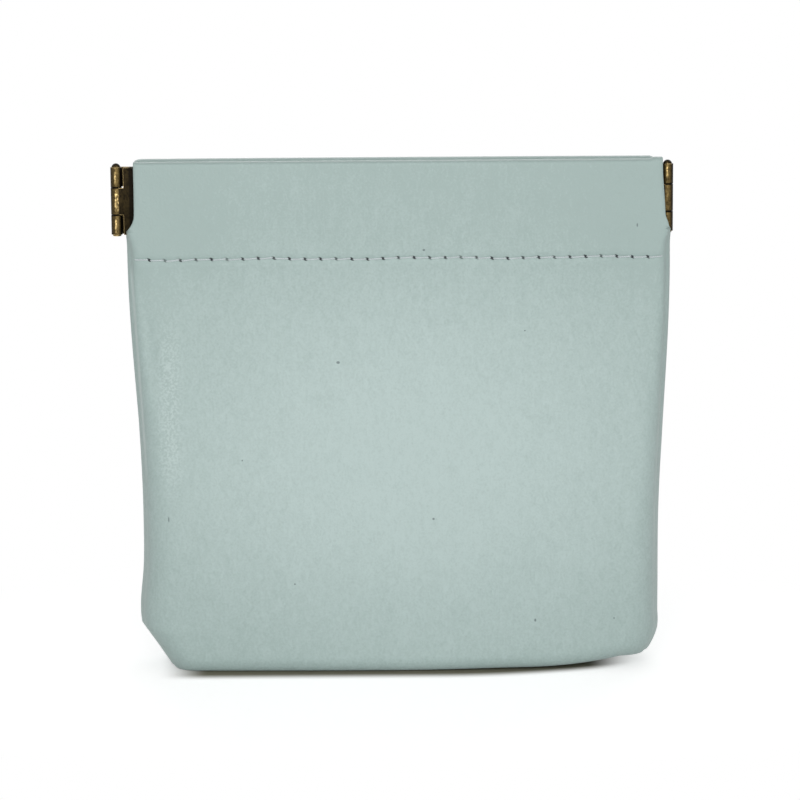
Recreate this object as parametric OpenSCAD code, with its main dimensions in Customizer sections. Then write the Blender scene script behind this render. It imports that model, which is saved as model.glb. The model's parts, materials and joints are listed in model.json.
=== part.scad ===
// Squeeze coin purse: a soft leather pouch on an internal flex frame.
// +X runs along the mouth, -Y faces the viewer, +Z is up and z = 0 is the table.
// Squeezing the two hinges together bows the spring strips apart and opens the mouth.

/* [Purse] */
// Height from the table to the folded mouth edge
purse_h = 91.4; // [86:0.2:98]
// Greatest depth of the pouch, front to rear
belly_depth = 20.4; // [17:0.2:24]
// Height of the deepest part of the belly
belly_z = 14; // [11:0.5:20]
// How much narrower each side is at the waist than at the casing
waist_in = 2.4; // [0:0.1:4]
// Height of the slanted bottom corners
corner_h = 8; // [7:0.1:11]
// How far each bottom corner is drawn in
corner_in = 4.6; // [3:0.1:6.5]
// How far the pouch sits off the middle of the frame
pouch_shift = 1.1; // [0:0.1:1.1]

/* [Leather and lining] */
// Thickness of the leather
leather_t = 0.9; // [0.7:0.05:1.1]
// Thickness of the lining and of the casing facings
lining_t = 0.4; // [0.3:0.05:0.4]
// Width over which the face rounds into the side at the belly
edge_w = 5.5; // [3:0.5:7]
// Height of the casing that holds the frame, from its stitching to the mouth edge
casing_h = 17.35; // [16.6:0.05:19]

/* [Flex frame] */
// Length of the frame over both hinges
frame_w = 100; // [92:1:112]
// Height of the hinge knuckles
frame_h = 12; // [10:0.5:12]
// Diameter of the hinge pins
pin_d = 1.1; // [0.9:0.05:1.1]
// Thickness of the hinge plates
plate_t = 0.4; // [0.3:0.02:0.4]
// Length of a hinge plate from its pin
plate_len = 9.5; // [8:0.5:11]
// Thickness of the spring strips
strip_t = 0.3; // [0.2:0.02:0.34]
// How far each spring strip is dished
strip_dish = 0.3; // [0.1:0.05:0.35]

/* [Stitching] */
// Spacing of the stitches
stitch_pitch = 2.77; // [2.4:0.01:3.4]
// Thickness of the top-stitching thread
thread_d = 0.4; // [0.3:0.05:0.5]

/* [Hidden] */
$fn = 48;

// Hinge: the plates roll round the pin with a running gap
run_gap = 0.05;
knuckle_r = pin_d / 2 + run_gap + plate_t;
pin_x = frame_w / 2 - knuckle_r;
head_r = 0.8;
head_h = 0.7;
tail_r = 0.75;
tail_h = 0.3;
frame_top = purse_h - 1.05;
frame_bottom = frame_top - frame_h;
knuckle_gap = 0.1;
lower_knuckle = frame_h * 0.29;
centre_knuckle = frame_h * 0.4;
plate_edge = 1.3;

// Spring strips and their rivets; the strip's section is an arc
strip_h = frame_h - 2;
strip_z = (frame_top + frame_bottom) / 2;
strip_y = knuckle_r + 0.03;
strip_arc_r = (strip_h * strip_h / 4 + strip_dish * strip_dish) / (2 * strip_dish);
rivet_r = 0.7;
rivet_head_r = 1.1;
rivet_head_h = 0.17;
rivet_x = plate_len - 2.4;
rivet_off = strip_h * 0.3;
strip_end = 3.1;

// Layers of each casing, counted from the middle plane of the closed purse
middle_gap = 0.15;
rivet_seat = strip_y + strip_t + strip_sag(rivet_off - rivet_head_r) + 0.01;
casing_in_y = max(strip_y + strip_t + strip_dish, rivet_seat + rivet_head_h) + 0.05;
casing_y = casing_in_y + leather_t;

// Pouch outline
casing_half = pin_x - 2.1;
shoulder_half = casing_half + 1.5;
waist_half = shoulder_half - waist_in;
stitch_z = purse_h - casing_h;
shoulder_z = stitch_z + 2;
waist_z = 22;
belly = belly_depth / 2;
base_r = 3;
side_lean = 0.9;
casing_edge_w = 1.2;
edge_share = 0.5;
thin_edge = 0.25;
crown = 0.9;
notch_r = 1.8;
notch_z = frame_bottom + 2.25;
channel_z = frame_bottom - 0.6;
channel_top = purse_h - 1;
crease_z = 3.4;
base_top = 3;
lining_gap = 0.15;
lining_in = leather_t + lining_gap;

wall_steps = 12;
wall_levels = concat(
    [crease_z, 5.5],
    [for (i = [0 : wall_steps]) corner_h + (stitch_z - corner_h) * i / wall_steps],
    [shoulder_z, channel_z, channel_top + 0.1]
);
lining_levels = concat([for (z = wall_levels) if (z < stitch_z - 2) z + 0.2], [stitch_z - 0.8]);
base_steps = [0, 0.1, 0.3, 0.6, 1];

leather_colour = [0.66, 0.74, 0.72];
lining_colour = [0.36, 0.40, 0.40];
brass_colour = [0.45, 0.36, 0.20];
steel_colour = [0.62, 0.64, 0.66];
thread_colour = [0.72, 0.74, 0.76];

// A smooth step from 0 to 1
function ease(t) = (1 - cos(180 * max(0, min(1, t)))) / 2;

// How far the dished strip stands out at height v from its middle
function strip_sag(v) = sqrt(strip_arc_r * strip_arc_r - v * v) - strip_arc_r + strip_dish;

// Half the depth of the pouch at height z, for a skin t inside the leather's face
function half_depth(z, t) =
    z < base_r
    ? belly - base_r + sqrt(max(0, pow(base_r - t, 2) - pow(base_r - z, 2)))
    : casing_y + (belly - casing_y) * ease((stitch_z - z) / (stitch_z - belly_z)) - t;

// Half the width of the pouch at height z, for the same skin
function half_width(z, t) =
    z < corner_h
    ? waist_half - corner_in * (1 - z / corner_h) - t
    : waist_half + waist_in * ease((z - waist_z) / (shoulder_z - waist_z)) - t;

// How full the pouch is at height z: 0 in the casing, 1 at the belly
function fullness(z) = max(0, (half_depth(z, 0) - casing_y) / (belly - casing_y));

// Plan of the front half at height z, from the left side seam round to the right one.
// The face falls away a little towards the sides and rounds into them over an ellipse.
function half_plan(z, t) =
    let (w = half_width(z, t))
    let (d = half_depth(z, t))
    let (fall = crown * fullness(z))
    let (rx = max(thin_edge, casing_edge_w + (edge_w - casing_edge_w) * fullness(z) - t))
    let (ry = max(thin_edge, edge_share * half_depth(z, 0) - t))
    let (flat = w - side_lean - rx)
    let (side_y = (fall - d + ry) / 2)
    concat(
        [[-w, -middle_gap], [-w + side_lean / 2, side_y]],
        [for (a = [180 : 22.5 : 270]) [-flat + rx * cos(a), fall - d + ry + ry * sin(a)]],
        [for (u = [-0.75 : 0.25 : 0.75]) [flat * u, fall * u * u - d]],
        [for (a = [270 : 22.5 : 360]) [flat + rx * cos(a), fall - d + ry + ry * sin(a)]],
        [[w - side_lean / 2, side_y], [w, -middle_gap]]
    );

function reversed(list) = [for (i = [len(list) - 1 : -1 : 0]) list[i]];
function at_height(plan, z) = [for (p = plan) [p[0], p[1], z]];

// Closed ring of a wall's section, and of the whole pouch
function wall_ring(z, outer, inner) =
    at_height(concat(half_plan(z, outer), reversed(half_plan(z, inner))), z);
function pouch_ring(z, t) =
    at_height(concat(half_plan(z, t), reversed([for (p = half_plan(z, t)) [p[0], -p[1]]])), z);

// Triangles of a ring's flat end: its first half runs out and its second half runs back
function end_faces(first, count) = concat(
    [for (i = [0 : count / 2 - 2]) [first + i, first + i + 1, first + count - 1 - i]],
    [for (i = [0 : count / 2 - 2]) [first + i + 1, first + count - 2 - i, first + count - 1 - i]]
);

// Solid through a list of rings with equal numbers of points, in triangles
module loft(rings) {
    count = len(rings[0]);
    last = len(rings) - 1;
    polyhedron(
        points = [for (ring = rings) for (p = ring) p],
        faces = concat(
            end_faces(0, count),
            [for (face = end_faces(last * count, count)) reversed(face)],
            [for (k = [0 : last - 1]) for (i = [0 : count - 1])
                [k * count + i, (k + 1) * count + i, k * count + (i + 1) % count]],
            [for (k = [0 : last - 1]) for (i = [0 : count - 1])
                [(k + 1) * count + i, (k + 1) * count + (i + 1) % count, k * count + (i + 1) % count]]
        ),
        convexity = 6
    );
}

// Moves a front piece of the pouch to its place, or mirrors it to the rear
module on_side(front) {
    translate([pouch_shift, 0, 0])
        if (front) {
            children();
        } else {
            mirror([0, 1, 0])
                children();
        }
}

// Bar along X with the profile of its children, drawn as [y, z]
module along_x(half) {
    translate([-half, 0, 0])
        rotate([90, 0, 90])
            linear_extrude(2 * half)
                children();
}

// Rounded top of the casing, folded over the frame towards the mouth
module casing_fold() {
    round_r = (casing_y - middle_gap) / 2;
    along_x(casing_half)
        intersection() {
            translate([-middle_gap - round_r, purse_h - round_r])
                circle(round_r);
            translate([-casing_y, channel_top])
                square([casing_y, round_r]);
        }
}

// Room for the frame in the casing: its inner side is open below the fold, for the facing
module casing_channel() {
    translate([-frame_w / 2, -casing_in_y, channel_z])
        cube([frame_w, 2 * casing_in_y, channel_top - channel_z]);
    translate([-frame_w / 2, -casing_in_y, channel_top - 0.1])
        cube([frame_w, casing_in_y - middle_gap - lining_t, 0.5]);
}

// Cut that ends the casing short of the hinge, with a round notch down to the side seam
module casing_end() {
    translate([casing_half + notch_r, 0, notch_z])
        rotate([90, 0, 0])
            cylinder(r = notch_r, h = belly_depth, center = true);
    translate([casing_half, -belly, notch_z])
        cube([frame_w / 10, belly_depth, casing_h]);
}

// Front or rear leather wall: belly, side returns, and the casing over the frame
module leather_wall() {
    difference() {
        union() {
            loft([for (z = wall_levels) wall_ring(z, 0, leather_t)]);
            casing_fold();
        }
        casing_end();
        mirror([1, 0, 0])
            casing_end();
        casing_channel();
    }
}

module front_leather() {
    color(leather_colour)
        on_side(true)
            leather_wall();
}

module rear_leather() {
    color(leather_colour)
        on_side(false)
            leather_wall();
}

// Bottom of the pouch, turned up all round to meet the walls
module base_leather() {
    color(leather_colour)
        translate([pouch_shift, 0, 0])
            tray(0, leather_t);
}

module base_lining() {
    color(lining_colour)
        translate([pouch_shift, 0, 0])
            tray(lining_in, lining_t);
}

// Rings of the turned-up bottom, for a skin t inside the pouch's face
function tray_rings(t) = [for (u = base_steps) pouch_ring(t + u * (base_top - t), t)];

// Tray whose outside lies t inside the pouch's face
module tray(t, thick) {
    difference() {
        loft(tray_rings(t));
        loft(concat(tray_rings(t + thick), [pouch_ring(base_top + 1, t + thick)]));
    }
}

// Lining of one wall, from the base up to the casing facing
module lining_wall() {
    loft([for (z = lining_levels) wall_ring(z, lining_in, lining_in + lining_t)]);
}

module front_lining() {
    color(lining_colour)
        on_side(true)
            lining_wall();
}

module rear_lining() {
    color(lining_colour)
        on_side(false)
            lining_wall();
}

// Inner side of the casing, which steps out to the leather at the stitching
module facing() {
    step_top = channel_z + 0.2;
    step_low = step_top - 2.4;
    foot = stitch_z - 0.6;
    near = middle_gap;
    far = casing_in_y - lining_t - 0.05;
    along_x(casing_half - 0.7)
        polygon([
            [-near, channel_top - 0.1], [-near, step_top], [-far, step_low], [-far, foot],
            [-far - lining_t, foot], [-far - lining_t, step_low + 0.2],
            [-near - lining_t, step_top + 0.2], [-near - lining_t, channel_top - 0.1]
        ]);
}

module front_facing() {
    color(leather_colour)
        on_side(true)
            facing();
}

module rear_facing() {
    color(leather_colour)
        on_side(false)
            facing();
}

// Row of stitches just below the casing, each lying on the leather
module topstitch() {
    count = floor(2 * (shoulder_half - side_lean) / stitch_pitch);
    stitch_len = stitch_pitch * 0.78;
    for (i = [0 : count - 1])
        translate([(i - (count - 1) / 2) * stitch_pitch, -casing_y - thread_d / 2 - 0.02, stitch_z])
            rotate([0, 90, 0])
                cylinder(d = thread_d, h = stitch_len, center = true, $fn = 6);
}

module front_topstitch() {
    color(thread_colour)
        on_side(true)
            topstitch();
}

module rear_topstitch() {
    color(thread_colour)
        on_side(false)
            topstitch();
}

// Stitches that show in the valley of a side seam; side is -1 at the left and 1 at the right
module side_thread(side) {
    count = floor((channel_z - corner_h - 4) / stitch_pitch);
    for (i = [0 : count - 1])
        let (z = corner_h + 2 + (i + 0.5) * stitch_pitch)
            translate([pouch_shift + side * (half_width(z, 0) - leather_t / 2), 0, z])
                cylinder(r = middle_gap - 0.05, h = stitch_pitch * 0.7, center = true, $fn = 6);
}

module left_side_thread() {
    color(thread_colour)
        side_thread(-1);
}

module right_side_thread() {
    color(thread_colour)
        side_thread(1);
}

// Holes for the two rivets of a plate, counted from a left-hand pin
module rivet_holes() {
    for (z = [-rivet_off, rivet_off])
        translate([rivet_x, 0, strip_z + z])
            rotate([90, 0, 0])
                cylinder(r = rivet_r + 0.03, h = 6, center = true);
}

// One rolled knuckle about the pin, with the slit where the roll closes on its plate
module knuckle(low, high) {
    translate([0, 0, low])
        difference() {
            cylinder(r = knuckle_r, h = high - low);
            translate([0, 0, -1])
                cylinder(r = pin_d / 2 + run_gap, h = high - low + 2);
            rotate([0, 0, -24])
                translate([knuckle_r * 0.4, -0.06, -1])
                    cube([knuckle_r, 0.12, high - low + 2]);
        }
}

// Flat of a plate on the front side, cut back where the other plate's knuckles turn
module plate_flat(low, high) {
    corner = 1.2;
    difference() {
        union() {
            translate([0, -knuckle_r, low])
                cube([plate_edge + 1, plate_t, high - low]);
            translate([0, -knuckle_r + plate_t, 0])
                rotate([90, 0, 0])
                    linear_extrude(plate_t)
                        polygon([
                            [plate_edge, frame_bottom], [plate_len - corner, frame_bottom],
                            [plate_len, frame_bottom + corner], [plate_len, frame_top - corner],
                            [plate_len - corner, frame_top], [plate_edge, frame_top]
                        ]);
        }
        rivet_holes();
    }
}

lower_top = frame_bottom + lower_knuckle;
centre_low = lower_top + knuckle_gap;
centre_top = centre_low + centre_knuckle;
upper_low = centre_top + knuckle_gap;

// Front plate, with the centre knuckle; drawn about a left-hand pin
module front_plate() {
    difference() {
        plate_flat(centre_low, centre_top);
        translate([0, 0, centre_low - 1])
            cylinder(r = pin_d / 2 + run_gap, h = centre_knuckle + 2);
    }
    knuckle(centre_low, centre_top);
}

// Rear plate, with the lower and upper knuckles; drawn on the front side, then mirrored
module rear_plate() {
    mirror([0, 1, 0]) {
        difference() {
            union() {
                plate_flat(frame_bottom, lower_top);
                plate_flat(upper_low, frame_top);
            }
            translate([0, 0, frame_bottom - 1])
                cylinder(r = pin_d / 2 + run_gap, h = frame_h + 2);
        }
        knuckle(frame_bottom, lower_top);
        knuckle(upper_low, frame_top);
    }
}

// Two rivets: flush in the plate, headed on the strip's outer face
module rivets() {
    plate_in = knuckle_r - plate_t;
    for (z = [-rivet_off, rivet_off])
        translate([rivet_x, -plate_in, strip_z + z])
            rotate([90, 0, 0]) {
                cylinder(r = rivet_r, h = rivet_seat - plate_in);
                translate([0, 0, rivet_seat - plate_in])
                    cylinder(r1 = rivet_head_r, r2 = rivet_head_r * 0.7, h = rivet_head_h);
            }
}

// Pin through the knuckles, with a domed head and a peened tail
module pin() {
    rotate_extrude() {
        translate([0, frame_bottom - tail_h])
            square([pin_d / 2, frame_h + tail_h + 0.1]);
        translate([0, frame_bottom - tail_h])
            square([tail_r, tail_h]);
        translate([0, frame_top])
            dome();
    }
}

// Half section of the pin's head: an arc as wide as the head and head_h high
module dome() {
    dome_r = (head_r * head_r + head_h * head_h) / (2 * head_h);
    intersection() {
        translate([0, head_h - dome_r])
            circle(dome_r);
        square([head_r, head_h]);
    }
}

// Puts a left-hand hinge piece at the left pin, or mirrors it to the right one
module at_left() {
    translate([-pin_x, 0, 0])
        children();
}

module at_right() {
    translate([pin_x, 0, 0])
        mirror([1, 0, 0])
            children();
}

module front_left_plate() {
    color(brass_colour)
        at_left()
            front_plate();
}

module rear_left_plate() {
    color(brass_colour)
        at_left()
            rear_plate();
}

module front_right_plate() {
    color(brass_colour)
        at_right()
            front_plate();
}

module rear_right_plate() {
    color(brass_colour)
        at_right()
            rear_plate();
}

module front_left_rivets() {
    color(brass_colour)
        at_left()
            rivets();
}

module rear_left_rivets() {
    color(brass_colour)
        at_left()
            mirror([0, 1, 0])
                rivets();
}

module front_right_rivets() {
    color(brass_colour)
        at_right()
            rivets();
}

module rear_right_rivets() {
    color(brass_colour)
        at_right()
            mirror([0, 1, 0])
                rivets();
}

module left_pin() {
    color(brass_colour)
        at_left()
            pin();
}

module right_pin() {
    color(brass_colour)
        at_right()
            pin();
}

// Profile of a spring strip, drawn as [y, z]: an arc with its hollow towards the mouth
module strip_profile() {
    translate([strip_arc_r - strip_y - strip_dish, strip_z])
        difference() {
            circle(strip_arc_r + strip_t, $fn = 360);
            circle(strip_arc_r, $fn = 360);
        }
}

// Spring strip on the front side, riveted to a plate at each end
module spring_strip() {
    difference() {
        along_x(pin_x - rivet_x + strip_end)
            intersection() {
                strip_profile();
                translate([-strip_y - 2, strip_z - strip_h / 2])
                    square([3, strip_h]);
            }
        for (side = [0, 1])
            mirror([side, 0, 0])
                at_left()
                    rivet_holes();
    }
}

module front_spring() {
    color(steel_colour)
        spring_strip();
}

module rear_spring() {
    color(steel_colour)
        mirror([0, 1, 0])
            spring_strip();
}

base_leather();
base_lining();
left_side_thread();
right_side_thread();
front_leather();
front_lining();
front_facing();
front_spring();
front_topstitch();
rear_leather();
rear_lining();
rear_facing();
rear_spring();
rear_topstitch();
front_left_plate();
front_left_rivets();
rear_left_plate();
rear_left_rivets();
left_pin();
front_right_plate();
front_right_rivets();
rear_right_plate();
rear_right_rivets();
right_pin();
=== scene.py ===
"""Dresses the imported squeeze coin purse: leather pouch, sprung frame, lining and thread."""
from __future__ import annotations

import json
import logging
import math
from dataclasses import dataclass, field
from enum import Enum
from typing import Any, Callable

import bmesh
import bpy
import numpy as np
from mathutils import Matrix, Quaternion, Vector, noise


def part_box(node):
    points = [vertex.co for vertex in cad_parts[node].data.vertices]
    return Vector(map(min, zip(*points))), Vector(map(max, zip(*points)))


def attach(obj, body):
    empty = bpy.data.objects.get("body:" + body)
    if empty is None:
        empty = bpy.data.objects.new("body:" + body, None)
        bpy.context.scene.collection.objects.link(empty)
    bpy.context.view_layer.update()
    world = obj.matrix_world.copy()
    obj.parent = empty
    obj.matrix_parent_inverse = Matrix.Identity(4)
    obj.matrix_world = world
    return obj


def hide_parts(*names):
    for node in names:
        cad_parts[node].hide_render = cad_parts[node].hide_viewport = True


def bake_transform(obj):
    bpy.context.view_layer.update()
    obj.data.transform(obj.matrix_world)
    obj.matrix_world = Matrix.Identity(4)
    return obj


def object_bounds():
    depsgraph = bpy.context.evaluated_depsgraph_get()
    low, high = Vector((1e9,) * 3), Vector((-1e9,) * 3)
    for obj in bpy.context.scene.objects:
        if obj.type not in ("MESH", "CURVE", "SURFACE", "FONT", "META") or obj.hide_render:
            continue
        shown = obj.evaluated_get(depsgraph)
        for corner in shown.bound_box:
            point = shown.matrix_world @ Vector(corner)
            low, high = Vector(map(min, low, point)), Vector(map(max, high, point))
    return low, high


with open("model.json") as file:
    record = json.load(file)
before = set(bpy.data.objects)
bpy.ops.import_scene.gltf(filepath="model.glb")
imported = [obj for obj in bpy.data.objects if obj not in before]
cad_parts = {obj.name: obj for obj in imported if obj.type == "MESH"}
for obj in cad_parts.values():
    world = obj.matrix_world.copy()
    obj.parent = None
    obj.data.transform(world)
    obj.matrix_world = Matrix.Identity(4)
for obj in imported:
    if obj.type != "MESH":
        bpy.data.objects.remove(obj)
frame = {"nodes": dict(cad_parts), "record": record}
CAD_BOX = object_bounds()

MM = 0.001
LOG = logging.getLogger("coin_purse")

Colour = tuple[float, float, float, float]
WHITE: Colour = (1.0, 1.0, 1.0, 1.0)


def srgb(red: float, green: float, blue: float) -> Colour:
    """Linear colour of an 8-bit screen colour.

    Args:
        red: Red from 0 to 255.
        green: Green from 0 to 255.
        blue: Blue from 0 to 255.

    Returns:
        The colour as linear red, green, blue and an alpha of 1.
    """
    def linear(value: float) -> float:
        """One channel, taken out of the screen's curve."""
        part = value / 255
        return part / 12.92 if part <= 0.04045 else ((part + 0.055) / 1.055) ** 2.4
    return (linear(red), linear(green), linear(blue), 1.0)


def ease(value: Any) -> Any:
    """Smooth step from 0 to 1 of a number or an array."""
    return (1 - np.cos(np.pi * np.clip(value, 0, 1))) / 2


def bell(value: Any, width: float) -> Any:
    """Bell curve of height 1 and the given half width."""
    return np.exp(-((value / width) ** 2))


class Way(Enum):
    """One of two opposite places, whose value is its sign along its axis."""

    @property
    def label(self) -> str:
        """Its name in the names of pieces."""
        return self.name.lower()


class Side(Way):
    """Wall of the pouch that a piece belongs to, along Y."""

    FRONT = -1.0
    REAR = 1.0


class End(Way):
    """End of the mouth that a piece belongs to, along X."""

    LEFT = -1.0
    RIGHT = 1.0


# Building of nodes


def joined(operation: str, swapped: bool = False) -> Callable[["Wire", Any], "Wire"]:
    """Operator that adds a Math node; a swapped one takes the plain value first.

    Args:
        operation: Name of the Math operation.
        swapped: Whether the plain value comes first.

    Returns:
        The operator's method.
    """
    def apply(self: "Wire", other: Any) -> "Wire":
        """Adds the node on both values."""
        return self.board.math(operation, *((other, self) if swapped else (self, other)))
    return apply


@dataclass(frozen=True, eq=False)
class Wire:
    """A node's output, on which sums are written as ordinary expressions."""

    board: "NodeBoard"
    socket: bpy.types.NodeSocket

    __add__, __radd__ = joined("ADD"), joined("ADD", True)
    __sub__, __rsub__ = joined("SUBTRACT"), joined("SUBTRACT", True)
    __mul__, __rmul__ = joined("MULTIPLY"), joined("MULTIPLY", True)
    __truediv__, __pow__ = joined("DIVIDE"), joined("POWER")

    def __abs__(self) -> "Wire":
        """Size without its sign."""
        return self.board.math("ABSOLUTE", self)


@dataclass
class NodeBoard:
    """Adds nodes to one tree."""

    tree: bpy.types.NodeTree

    def node(self, kind: str, values: dict[Any, Any] | None = None, **settings: Any) -> bpy.types.Node:
        """Adds one node.

        Args:
            kind: Blender's type name of the node.
            values: A number, colour or wire for each named or numbered input.
            settings: The node's own settings, which are set before its inputs.

        Returns:
            The node.
        """
        made = self.tree.nodes.new(kind)
        for key, value in settings.items():
            setattr(made, key, value)
        for key, value in (values or {}).items():
            if isinstance(value, Wire):
                self.tree.links.new(value.socket, made.inputs[key])
            else:
                made.inputs[key].default_value = value
        return made

    def out(self, kind: str, values: dict[Any, Any] | None = None, output: Any = 0,
            **settings: Any) -> Wire:
        """Adds one node and returns one of its outputs as a wire."""
        return Wire(self, self.node(kind, values, **settings).outputs[output])

    def math(self, operation: str, *terms: Any) -> Wire:
        """Adds a Math node of one operation on its terms."""
        return self.out("ShaderNodeMath", dict(enumerate(terms)), operation=operation)

    def vector(self, x: Any, y: Any, z: Any) -> Wire:
        """Joins three values into a vector."""
        return self.out("ShaderNodeCombineXYZ", {0: x, 1: y, 2: z})

    def step(self, value: Wire, low: float, high: float) -> Wire:
        """Smooth step of a value from 0 at low to 1 at high."""
        return self.out("ShaderNodeMapRange", {"Value": value, "From Min": low, "From Max": high},
                        interpolation_type="SMOOTHSTEP")

    def blend(self, factor: Any, first: Any, second: Any) -> Wire:
        """Mixes two colours."""
        return self.out("ShaderNodeMix", {0: factor, 6: first, 7: second}, 2, data_type="RGBA")

    def seen(self, *kinds: str) -> Wire:
        """1 for rays of the named kinds, and 0 for the rest.

        Args:
            kinds: Names of kinds, such as "Camera".

        Returns:
            The mask.
        """
        rays = self.node("ShaderNodeLightPath").outputs
        shown, *others = (Wire(self, rays[f"Is {kind} Ray"]) for kind in kinds)
        for other in others:
            shown = self.math("MAXIMUM", shown, other)
        return shown


@dataclass
class Paint(NodeBoard):
    """Nodes of one material around a Principled shader."""

    material: bpy.types.Material = field(default=None)

    @classmethod
    def start(cls, name: str) -> "Paint":
        """Makes a new material with an empty tree.

        Args:
            name: Name of the material.

        Returns:
            The material's nodes, none so far.
        """
        material = bpy.data.materials.new(name)
        material.use_nodes = True
        material.node_tree.nodes.clear()
        return cls(material.node_tree, material)

    def place(self) -> Wire:
        """Object coordinates in metres."""
        return self.out("ShaderNodeTexCoord", output="Object")

    def split(self, vector: Wire, scale: float = 1 / MM) -> tuple[Wire, Wire, Wire]:
        """Parts a vector into its three values, scaled, which turns metres into millimetres."""
        parts = self.node("ShaderNodeSeparateXYZ", {0: vector})
        return tuple(Wire(self, output) * scale for output in parts.outputs)

    def stretch(self, place: Wire, scale: tuple[float, float, float]) -> Wire:
        """Scales coordinates."""
        return self.out("ShaderNodeMapping", {"Vector": place, "Scale": scale})

    def cloud(self, place: Wire, scale: float, detail: float = 3.0, warp: float = 0.0) -> Wire:
        """Noise around 0.5, with scale in features per metre."""
        return self.out("ShaderNodeTexNoise",
                        {"Vector": place, "Scale": scale, "Detail": detail, "Distortion": warp})

    def bump(self, height: Wire, distance: float, strength: float) -> Wire:
        """Normal of a height that runs from 0 to 1 over a distance in metres."""
        return self.out("ShaderNodeBump", {"Height": height, "Strength": strength, "Distance": distance})

    def finish(self, **values: Any) -> bpy.types.Material:
        """Adds the Principled shader and the output.

        Args:
            values: Inputs of the shader, with underscores for the spaces in their names.

        Returns:
            The finished material.
        """
        inputs = {key.replace("_", " "): value for key, value in values.items()}
        shader = self.out("ShaderNodeBsdfPrincipled", inputs)
        self.node("ShaderNodeOutputMaterial", {"Surface": shader})
        return self.material


# Sizes, in millimetres


@dataclass(frozen=True)
class PouchShape:
    """Form of the pouch, the same as the solids'."""

    centre_x: float
    top: float
    belly: float
    shoulder_half: float
    stitch_z: float
    belly_z: float = 14.0
    waist_in: float = 2.4
    waist_z: float = 22.0
    shoulder_in: float = 1.5
    shoulder_rise: float = 2.0
    corner_h: float = 8.0
    corner_in: float = 4.6
    skin: float = 0.9
    cloth: float = 0.4
    cloth_in: float = 1.05
    hem: float = 0.6
    casing_y: float = 2.717
    middle_gap: float = 0.15
    seam_gap: float = 0.02
    fold_rise: float = 0.85
    fold_square: float = 3.0
    base_r: float = 3.0
    side_lean: float = 0.9
    casing_edge: float = 1.2
    belly_edge: float = 5.5
    edge_share: float = 0.5
    thin_edge: float = 0.25
    crown: float = 0.9
    notch_h: float = 3.1
    notch_z: float = 82.1
    notch_bend: float = 2.1
    neck_z: float = 79.4
    neck_h: float = 2.4
    neck_square: float = 0.75
    crease_z: float = 3.2
    puff: float = 0.25

    @classmethod
    def from_frame(cls) -> "PouchShape":
        """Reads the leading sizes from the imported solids.

        Returns:
            The form.
        """
        low, high = (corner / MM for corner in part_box("front_leather"))
        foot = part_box("front_facing")[0].z / MM
        return cls(centre_x=(low.x + high.x) / 2, top=high.z, belly=-low.y,
                   shoulder_half=(high.x - low.x) / 2, stitch_z=foot + cls.hem)

    @property
    def casing_half(self) -> float:
        """Half the length of the casing."""
        return self.shoulder_half - self.shoulder_in

    @property
    def waist_half(self) -> float:
        """Half the width at the waist."""
        return self.shoulder_half - self.waist_in

    @property
    def fold_z(self) -> float:
        """Height at which the casing starts to fold over."""
        return self.top - self.fold_rise

    def half_depth(self, z: float, inset: float) -> float:
        """Half the depth at height z, for a skin inset from the face.

        Args:
            z: The height.
            inset: How far inside the outer face the skin lies.

        Returns:
            Half the depth.
        """
        if z < self.base_r:
            return self.belly - self.base_r + math.sqrt(
                max(0.0, (self.base_r - inset) ** 2 - (self.base_r - z) ** 2))
        rise = float(ease((self.stitch_z - z) / (self.stitch_z - self.belly_z)))
        return self.casing_y + (self.belly - self.casing_y) * rise - inset

    def half_width(self, z: Any, inset: float = 0.0) -> Any:
        """Half the width at height z, for a skin inset from the face.

        Args:
            z: One height, or an array of them.
            inset: How far inside the outer face the skin lies.

        Returns:
            Half the width at each height.
        """
        upper = self.waist_half + self.waist_in * ease(
            (z - self.waist_z) / (self.stitch_z + self.shoulder_rise - self.waist_z))
        lower = self.waist_half - self.corner_in * (1 - z / self.corner_h)
        return np.where(np.asarray(z) < self.corner_h, lower, upper) - inset

    def fullness(self, z: float) -> float:
        """How full the pouch is at height z: 0 in the casing, 1 at the belly."""
        return max(0.0, (self.half_depth(z, 0) - self.casing_y) / (self.belly - self.casing_y))

    def reach(self, z: float) -> float:
        """How far the leather goes to each side at height z, cut back by the notch and casing end.

        Args:
            z: The height.

        Returns:
            The distance from the middle.
        """
        if z >= self.notch_z:
            return self.casing_half
        part = min(1.0, (self.notch_z - z) / self.notch_h)
        full = float(self.half_width(z))
        return self.casing_half + (full - self.casing_half) * part ** self.notch_bend

    def section(self, z: float, inset: float, columns: int, reach: float | None = None) -> np.ndarray:
        """Section of the front wall at one height.

        Args:
            z: Height of the section.
            inset: How far inside the outer face the section lies.
            columns: Number of points returned.
            reach: Cuts the section off at this distance from the middle.

        Returns:
            Points (x, y, z) from the left side seam to the right one, evenly spaced.
        """
        w, d = float(self.half_width(z, inset)), self.half_depth(z, inset)
        full = self.fullness(z)
        fall = self.crown * full
        square = 1 - self.neck_square * float(bell(z - self.neck_z, self.neck_h))
        edge = (self.casing_edge + (self.belly_edge - self.casing_edge) * full) * square
        lean = self.side_lean * square
        rx = max(self.thin_edge, edge - inset)
        ry = max(self.thin_edge, self.edge_share * self.half_depth(z, 0) - inset)
        flat = w - lean - rx
        shoulder = fall - d + ry
        side = [(-w + lean * s - self.puff * math.sin(math.pi * s),
                 -self.seam_gap + (shoulder + self.seam_gap) * s) for s in np.linspace(0, 1, 9)[:-1]]
        turn = [(-flat - rx * math.cos(a), shoulder - ry * math.sin(a))
                for a in np.linspace(0, math.pi / 2, 15)]
        left = side + turn
        face = [(flat * u, fall * u * u - d) for u in np.linspace(-1, 1, 41)[1:-1]]
        points = np.array(left + face + [(-x, y) for x, y in reversed(left)])
        if reach is not None:
            points = cut_off(points, reach)
        return np.column_stack([spaced(points, columns), np.full(columns, z)])


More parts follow.
